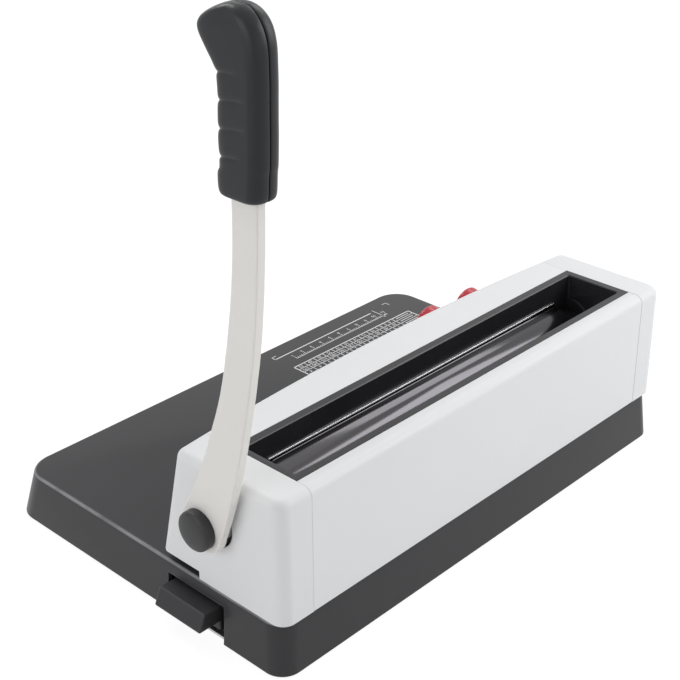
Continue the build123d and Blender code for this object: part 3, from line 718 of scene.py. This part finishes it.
def grip_half(name, node_name, side):
    """One half of the grip, lofted through its levels on one side of the seam."""
    made = bmesh.new()
    last = None
    for front, back, thickness, groove, reach in GRIP_LEVELS:
        length = math.dist(front, back)
        along = ((back[0] - front[0]) / length, (back[1] - front[1]) / length)
        ring = []
        for behind, out in grip_section(front, back, thickness, groove, reach):
            place = (front[0] + behind * along[0], front[1] + behind * along[1])
            ring.append(
                made.verts.new(
                    (
                        GRIP_SPLIT + side * out / 1000,
                        PIVOT.y + place[0] / 1000,
                        PIVOT.z + place[1] / 1000,
                    )
                )
            )
        edges = [made.edges.new(pair) for pair in zip(ring, ring[1:] + ring[:1])]
        if last:
            bmesh.ops.bridge_loops(made, edges=last + edges)
        last = edges
    bmesh.ops.holes_fill(made, edges=made.edges, sides=0)
    bmesh.ops.recalc_face_normals(made, faces=made.faces)
    piece = keep_mesh(name, made, "lever", "grip_black")
    piece.data.shade_smooth()
    smooth = piece.modifiers.new("moulded_form", "SUBSURF")
    smooth.levels = smooth.render_levels = SMOOTH_LEVELS
    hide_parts(node_name)


grip_half("grip_outer_moulded", "grip_outer_half", 1)
grip_half("grip_inner_moulded", "grip_inner_half", -1)


# Chart printed on the table


# The print's thickness is in metres and its other sizes are in millimetres.
PRINT_THICKNESS = 0.00004
LINE = 0.6
CHART_LEFT = -160.3
CHART_RIGHT = -33.0
CHART_REAR = -158.0
CHART_FRONT = -198.6
FRAME_WEIGHT = 1.6
HEAD_CELL = 20.0
HEAD_BAR = 0.72
HEAD_BAR_WIDTH = 0.7
CELLS = 11
DIGIT_HEIGHT = 2.9
# Height of a digit as a share of its letter size
DIGIT_SHARE = 0.7
SCALE_RIGHT = CHART_RIGHT - 12
SCALE_LINE = -207.2
SCALE_NUMBERS = -212.6
SCALE_MIDDLE = CHART_RIGHT - 62
SCALE_LENGTH = 101
SCALE_STEP = 2
LONG_MARK_EVERY = 10
LONG_MARK = 3.2
SHORT_MARK = 1.8
MARK_WIDTH = 0.5
# Middle along X and Y, length and width of the rule in front of the scale and of its end line
FRONT_RULE = (CHART_RIGHT - 52, -217.4, 104, 1.0)
END_LINE = (-141.0, -212.5, LINE, 15.0)
CORNER_FRONT = -221.3
CORNER_SIDE = 4.5
CORNER_REACH = 2.0
# Each corner mark's place along X and the way its foot points
CORNERS = ((-32.0, -1), (-158.6, 1))
CHART_ROWS = (
    (6, 8, 10, 12, 14, 16, 19, 22, 25, 28, 32),
    (20, 40, 60, 80, 100, 120, 150, 180, 210, 240, 270),
    (1, 1, 1, 2, 2, 2, 3, 3, 3, 4, 4),
    (2, 3, 4, 5, 6, 7, 8, 9, 10, 11, 12),
)


def bar(made, x, y, length, width):
    """A printed bar, from its middle and its sizes along X and Y in millimetres."""
    corners = bmesh.ops.create_cube(made, size=1.0)["verts"]
    bmesh.ops.scale(made, vec=(length / 1000, width / 1000, PRINT_THICKNESS), verts=corners)
    place = at(x, y, 0)
    place.z = TABLE_TOP + PRINT_THICKNESS / 2
    bmesh.ops.translate(made, vec=place, verts=corners)


def number(made, text, x, y, height):
    """A printed number, centred on a place on the table."""
    letters = bpy.data.curves.new("number", "FONT")
    letters.body = text
    letters.size = height / (1000 * DIGIT_SHARE)
    letters.align_x = "CENTER"
    letters.align_y = "CENTER"
    letters.extrude = PRINT_THICKNESS / 2
    letters.resolution_u = 3
    holder = linked("number", letters)
    mesh = bpy.data.meshes.new_from_object(holder)
    before = set(made.verts)
    made.from_mesh(mesh)
    place = at(x, y, 0)
    place.z = TABLE_TOP + PRINT_THICKNESS / 2
    added = [vert for vert in made.verts if vert not in before]
    bmesh.ops.translate(made, vec=place, verts=added)
    bpy.data.objects.remove(holder)
    bpy.data.curves.remove(letters)
    bpy.data.meshes.remove(mesh)


def table_print():
    """The chart, the measuring scale and the corner marks, as one thin piece."""
    made = bmesh.new()
    middle_x = (CHART_LEFT + CHART_RIGHT) / 2
    rows = len(CHART_ROWS) * 2
    row_height = (CHART_REAR - CHART_FRONT) / rows
    for row in range(rows + 1):
        width = LINE * (FRAME_WEIGHT if row in (0, rows) else 1)
        bar(made, middle_x, CHART_FRONT + row * row_height, CHART_RIGHT - CHART_LEFT, width)
    cell = (CHART_RIGHT - CHART_LEFT - HEAD_CELL) / CELLS
    middle_y = (CHART_FRONT + CHART_REAR) / 2
    for line in range(CELLS + 2):
        x = CHART_LEFT if line == 0 else CHART_LEFT + HEAD_CELL + (line - 1) * cell
        width = LINE * (FRAME_WEIGHT if line in (0, CELLS + 1) else 1)
        bar(made, x, middle_y, width, CHART_REAR - CHART_FRONT)
    for row in range(rows):
        y = CHART_FRONT + (row + 0.5) * row_height
        bar(made, CHART_LEFT + HEAD_CELL / 2, y, HEAD_CELL * HEAD_BAR, HEAD_BAR_WIDTH)
        for place, value in enumerate(CHART_ROWS[row % len(CHART_ROWS)]):
            x = CHART_LEFT + HEAD_CELL + (place + 0.5) * cell
            number(made, str(value), x, y, DIGIT_HEIGHT)
    # A plain measuring scale in front of the chart
    for mark in range(0, SCALE_LENGTH, SCALE_STEP):
        long_mark = mark % LONG_MARK_EVERY == 0
        length = LONG_MARK if long_mark else SHORT_MARK
        bar(made, SCALE_RIGHT - mark, SCALE_LINE - length / 2, MARK_WIDTH, length)
        if long_mark:
            value = mark // LONG_MARK_EVERY + 1
            number(made, str(value), SCALE_RIGHT - mark, SCALE_NUMBERS, DIGIT_HEIGHT)
    bar(made, SCALE_MIDDLE, SCALE_LINE, SCALE_LENGTH, LINE)
    bar(made, *FRONT_RULE)
    bar(made, *END_LINE)
    for x, turn in CORNERS:
        bar(made, x + turn * CORNER_REACH, CORNER_FRONT, CORNER_SIDE, LINE)
        bar(made, x, CORNER_FRONT + CORNER_REACH, LINE, CORNER_SIDE)
    keep_mesh("table_print", made, "body", "base_black", print_ink())


table_print()


# The room: a pale floor, soft lights and the camera of the photograph


def seen_directly(sheet):
    """1 for the camera, for mirror rays and for rays through glass, otherwise 0."""
    camera = sheet.node("ShaderNodeLightPath", out="Is Camera Ray")
    path = camera.socket.node
    glossy = Signal(sheet, path.outputs["Is Glossy Ray"])
    through = Signal(sheet, path.outputs["Is Transmission Ray"])
    return camera.most(glossy).most(through)


# Half the floor's width in metres, its glow, and the share of the glow in what the camera,
# mirrors and glass see of it
FLOOR_HALF = 6
FLOOR_GLOW = 1.14
GLOW_SHARE = 0.8


def floor():
    """A pale floor that still takes the machine's shadow."""
    made = bmesh.new()
    bmesh.ops.create_grid(made, x_segments=1, y_segments=1, size=FLOOR_HALF)
    mesh = bpy.data.meshes.new("floor")
    made.to_mesh(mesh)
    made.free()
    piece = linked("floor", mesh)
    sheet = Sheet("floor_white")
    diffuse = sheet.node("ShaderNodeBsdfDiffuse", inputs={"Color": rgb(0.9, 0.9, 0.9)})
    glow = sheet.node("ShaderNodeEmission", inputs={"Color": rgb(1, 1, 1), "Strength": FLOOR_GLOW})
    share = seen_directly(sheet) * GLOW_SHARE
    mixed = sheet.node("ShaderNodeMixShader", inputs={0: share, 1: diffuse, 2: glow})
    output = sheet.tree.nodes.new("ShaderNodeOutputMaterial")
    sheet.tree.links.new(mixed.socket, output.inputs["Surface"])
    piece.data.materials.append(sheet.material)


WORLD_LEVEL = 0.35


def world():
    """Even white surroundings, full white where the camera, gloss and glass see them."""
    scene = bpy.context.scene
    scene.world = bpy.data.worlds.new("studio")
    scene.world.use_nodes = True
    tree = scene.world.node_tree
    tree.nodes.clear()
    path = tree.nodes.new("ShaderNodeLightPath")
    level = None
    for ray in ("Is Camera Ray", "Is Glossy Ray", "Is Transmission Ray"):
        most = tree.nodes.new("ShaderNodeMath")
        most.operation = "MAXIMUM"
        most.inputs[0].default_value = WORLD_LEVEL
        if level:
            tree.links.new(level, most.inputs[0])
        tree.links.new(path.outputs[ray], most.inputs[1])
        level = most.outputs[0]
    background = tree.nodes.new("ShaderNodeBackground")
    background.inputs["Color"].default_value = rgb(1, 1, 1)
    output = tree.nodes.new("ShaderNodeOutputWorld")
    tree.links.new(level, background.inputs["Strength"])
    tree.links.new(background.outputs[0], output.inputs["Surface"])


LAMP_AIM = (0, 0, 0.08)


def lamp(name, place, size, watts):
    """A soft rectangular lamp that faces the machine."""
    light = bpy.data.lights.new(name, "AREA")
    light.shape = "RECTANGLE"
    light.size, light.size_y = size
    light.energy = watts
    holder = linked(name, light)
    holder.location = place
    aim = Vector(LAMP_AIM) - Vector(place)
    holder.rotation_euler = aim.to_track_quat("-Z", "Y").to_euler()


# The photograph's camera, as it was fitted to the straight edges
CAMERA_PLACE = at(612.7, 467.3, 545.6)
CAMERA_TURN = (62.305, 0.399, 133.575)
CAMERA_ANGLE = 26.681


def camera():
    """The camera that sees the machine as the photograph does."""
    lens = bpy.data.cameras.new("camera")
    lens.sensor_width = 36
    lens.angle = math.radians(CAMERA_ANGLE)
    holder = linked("camera", lens)
    holder.location = CAMERA_PLACE
    holder.rotation_euler = [math.radians(turn) for turn in CAMERA_TURN]
    bpy.context.scene.camera = holder


LAMPS = (
    ("overhead", (0.1, 0.1, 1.5), (1.6, 1.6), 2),
    ("rear_left", (-1.0, 0.95, 0.85), (1.0, 1.0), 12),
    ("left_high", (-1.0, -0.2, 1.3), (0.7, 0.7), 4.0),
    ("front_high", (0.05, -1.0, 1.25), (0.5, 0.5), 5.0),
    ("rear_soft", (0.3, 1.6, 0.6), (1.4, 1.0), 1.5),
    ("right_soft", (1.5, -0.2, 0.7), (1.2, 1.0), 7),
)
floor()
world()
camera()
for name, place, size, watts in LAMPS:
    lamp(name, place, size, watts)
bpy.context.scene.view_settings.view_transform = "Standard"
